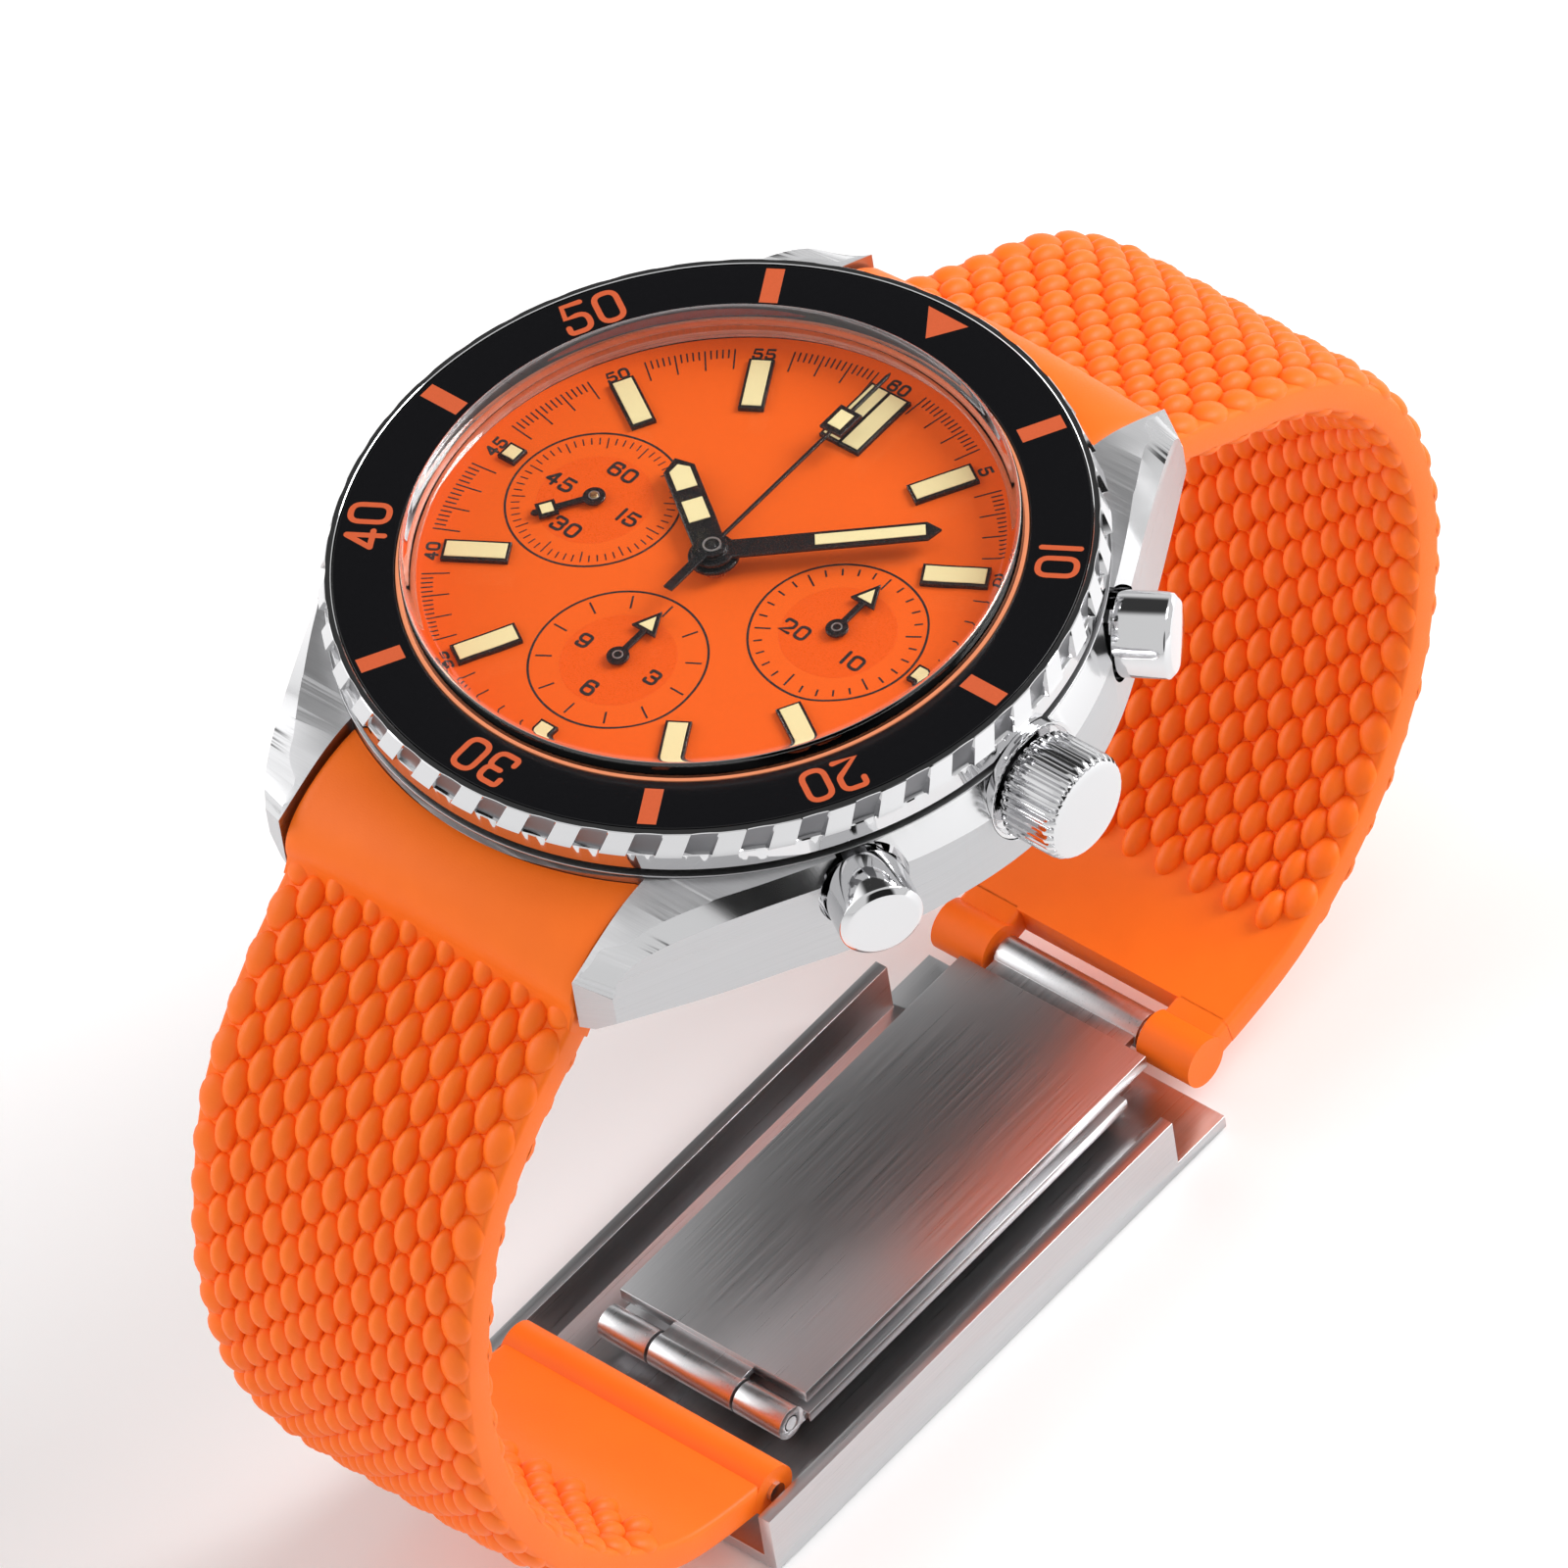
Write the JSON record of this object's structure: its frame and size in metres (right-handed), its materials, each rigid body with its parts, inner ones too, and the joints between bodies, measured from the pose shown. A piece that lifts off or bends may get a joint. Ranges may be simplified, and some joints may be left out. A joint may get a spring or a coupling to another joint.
{
  "type": "dive watch",
  "caption": "Chronograph dive watch with a turning bezel, a crown, two push buttons, an orange dial and a beaded rubber strap closed by a folding clasp.",
  "frame": {"origin": "point on the clasp cover's flat outer face straight below the dial's centre", "axes": "+Z out of the dial, +Y to 12 o'clock, +X to the crown at 3 o'clock"},
  "size_m": [0.046, 0.0813, 0.0606],
  "materials": {
    "case_steel": "brushed and polished stainless steel",
    "polished_steel": "mirror polished stainless steel",
    "insert": "glossy black with orange minute marks",
    "sapphire": "clear, polished",
    "dial": "satin orange lacquer with black printing",
    "hands": "black lacquer with cream luminous fill",
    "movement_brass": "machined",
    "strap": "matte moulded orange rubber",
    "seal": "black nitrile"
  },
  "bodies": {
    "case": {"mid_case": "case_steel", "case_back": "case_steel", "case_back_gasket": "seal", "crystal": "sapphire", "crystal_gasket": "seal", "dial": "dial", "main_plate": "movement_brass", "movement_ring": "movement_brass", "train_bridge": "case_steel", "balance_cock": "case_steel", "rotor_bearing": "case_steel", "bezel_click_spring": "case_steel", "crown_tube": "case_steel", "upper_pusher_tube": "case_steel", "lower_pusher_tube": "case_steel", "spring_bar_12": "case_steel", "spring_bar_6": "case_steel"},
    "bezel": {"bezel_ring": "case_steel", "bezel_insert": "insert"},
    "small_seconds": {"fourth_wheel": "movement_brass", "small_seconds_hand": "hands"},
    "center": {"center_wheel": "movement_brass", "minute_hand": "hands"},
    "third": {"third_wheel": "movement_brass"},
    "hour": {"hour_wheel": "movement_brass", "hour_hand": "hands"},
    "escape": {"escape_wheel": "polished_steel"},
    "barrel": {"mainspring_barrel": "movement_brass"},
    "fork": {"pallet_fork": "polished_steel"},
    "balance": {"balance_wheel": "movement_brass", "hairspring": "case_steel"},
    "chronograph": {"chronograph_arbor": "polished_steel", "chronograph_seconds_hand": "hands"},
    "minute_counter": {"minute_counter_hand": "hands"},
    "hour_counter": {"hour_counter_hand": "hands"},
    "rotor": {"rotor": "movement_brass"},
    "crown_slider": {"crown_gasket": "seal"},
    "crown": {"crown": "polished_steel", "winding_stem": "case_steel"},
    "upper_pusher": {"upper_pusher": "polished_steel", "upper_pusher_spring": "case_steel"},
    "lower_pusher": {"lower_pusher": "polished_steel", "lower_pusher_spring": "case_steel"},
    "strap_12": {"strap_12": "strap", "strap_12_end_bar": "case_steel"},
    "strap_6": {"strap_6": "strap", "strap_6_end_bar": "case_steel"},
    "inner_blade": {"clasp_inner_blade": "case_steel", "left_hinge_pin": "case_steel"},
    "outer_blade": {"clasp_outer_blade": "case_steel", "right_hinge_pin": "case_steel"},
    "clasp_cover": {"clasp_cover": "case_steel"}
  },
  "joints": [
    {"name": "bezel_turn", "type": "hinge", "parent": "case", "child": "bezel", "pos_m": [0, 0, 0.0573], "axis": [0, 0, 1], "continuous": true},
    {"name": "small_seconds_turn", "type": "hinge", "parent": "case", "child": "small_seconds", "pos_m": [-0.0082, 0, 0.0509], "axis": [0, 0, 1], "continuous": true},
    {"name": "center_turn", "type": "hinge", "parent": "case", "child": "center", "pos_m": [0, 0, 0.0523], "axis": [0, 0, 1], "continuous": true},
    {"name": "third_turn", "type": "hinge", "parent": "case", "child": "third", "pos_m": [-0.00423, 0.0014, 0.0516], "axis": [0, 0, 1], "continuous": true},
    {"name": "hour_turn", "type": "hinge", "parent": "case", "child": "hour", "pos_m": [0, 0, 0.05495], "axis": [0, 0, 1], "continuous": true},
    {"name": "escape_turn", "type": "hinge", "parent": "case", "child": "escape", "pos_m": [-0.00889, 0.0039, 0.0523], "axis": [0, 0, 1], "continuous": true},
    {"name": "barrel_turn", "type": "hinge", "parent": "case", "child": "barrel", "pos_m": [0.00372, -0.00441, 0.0512], "axis": [0, 0, 1], "continuous": true},
    {"name": "pallet_rock", "type": "hinge", "parent": "case", "child": "fork", "pos_m": [-0.00785, 0.00666, 0.0523], "axis": [0, 0, 1], "range_deg": [-5, 5]},
    {"name": "balance_swing", "type": "hinge", "parent": "case", "child": "balance", "pos_m": [-0.005, 0.0086, 0.051], "axis": [0, 0, 1], "range_deg": [-150, 150], "stiffness_Nm_per_rad": 0.0000002, "deforming": ["hairspring"]},
    {"name": "chronograph_turn", "type": "hinge", "parent": "case", "child": "chronograph", "pos_m": [0, 0, 0.0571], "axis": [0, 0, 1], "continuous": true},
    {"name": "minute_counter_turn", "type": "hinge", "parent": "case", "child": "minute_counter", "pos_m": [0.0082, 0, 0.0559], "axis": [0, 0, 1], "continuous": true},
    {"name": "hour_counter_turn", "type": "hinge", "parent": "case", "child": "hour_counter", "pos_m": [0, -0.0078, 0.0559], "axis": [0, 0, 1], "continuous": true},
    {"name": "rotor_swing", "type": "hinge", "parent": "case", "child": "rotor", "pos_m": [0, 0, 0.0482], "axis": [0, 0, 1], "continuous": true},
    {"name": "crown_pull", "type": "slide", "parent": "case", "child": "crown_slider", "axis": [1, 0, 0], "range_m": [0, 0.0018]},
    {"name": "crown_turn", "type": "hinge", "parent": "crown_slider", "child": "crown", "pos_m": [0.02095, 0, 0.05326], "axis": [1, 0, 0], "continuous": true},
    {"name": "upper_pusher_press", "type": "slide", "parent": "case", "child": "upper_pusher", "axis": [-0.866, -0.5, 0], "range_m": [0, 0.0009], "stiffness_N_per_m": 1500, "springref_m": -0.0005, "deforming": ["upper_pusher_spring"]},
    {"name": "lower_pusher_press", "type": "slide", "parent": "case", "child": "lower_pusher", "axis": [-0.866, 0.5, 0], "range_m": [0, 0.0009], "stiffness_N_per_m": 1500, "springref_m": -0.0005, "deforming": ["lower_pusher_spring"]},
    {"name": "strap_12_swing", "type": "hinge", "parent": "case", "child": "strap_12", "pos_m": [0, 0.0222, 0.0506], "axis": [1, 0, 0], "range_deg": [0, 20]},
    {"name": "strap_6_swing", "type": "hinge", "parent": "case", "child": "strap_6", "pos_m": [0, -0.0222, 0.0506], "axis": [-1, 0, 0], "range_deg": [0, 20]},
    {"name": "inner_blade_swing", "type": "hinge", "parent": "strap_12", "child": "inner_blade", "pos_m": [0, 0.021, 0.0038], "axis": [1, 0, 0], "range_deg": [0, 20]},
    {"name": "outer_blade_fold", "type": "hinge", "parent": "inner_blade", "child": "outer_blade", "pos_m": [0, -0.011, 0.0032], "axis": [-1, 0, 0], "range_deg": [0, 60]},
    {"name": "cover_open", "type": "hinge", "parent": "outer_blade", "child": "clasp_cover", "pos_m": [0, 0.0185, 0.002], "axis": [1, 0, 0], "range_deg": [0, 120]}
  ],
  "couplings": [
    {"joint": "center_turn", "follows": "small_seconds_turn", "ratio": 0.016667},
    {"joint": "third_turn", "follows": "small_seconds_turn", "ratio": -0.13333},
    {"joint": "hour_turn", "follows": "small_seconds_turn", "ratio": 0.0013889},
    {"joint": "escape_turn", "follows": "small_seconds_turn", "ratio": -10},
    {"joint": "barrel_turn", "follows": "small_seconds_turn", "ratio": -0.0027778},
    {"joint": "minute_counter_turn", "follows": "chronograph_turn", "ratio": 0.033333},
    {"joint": "hour_counter_turn", "follows": "chronograph_turn", "ratio": 0.0013889},
    {"joint": "cover_open", "follows": "outer_blade_fold", "ratio": 2}
  ]
}
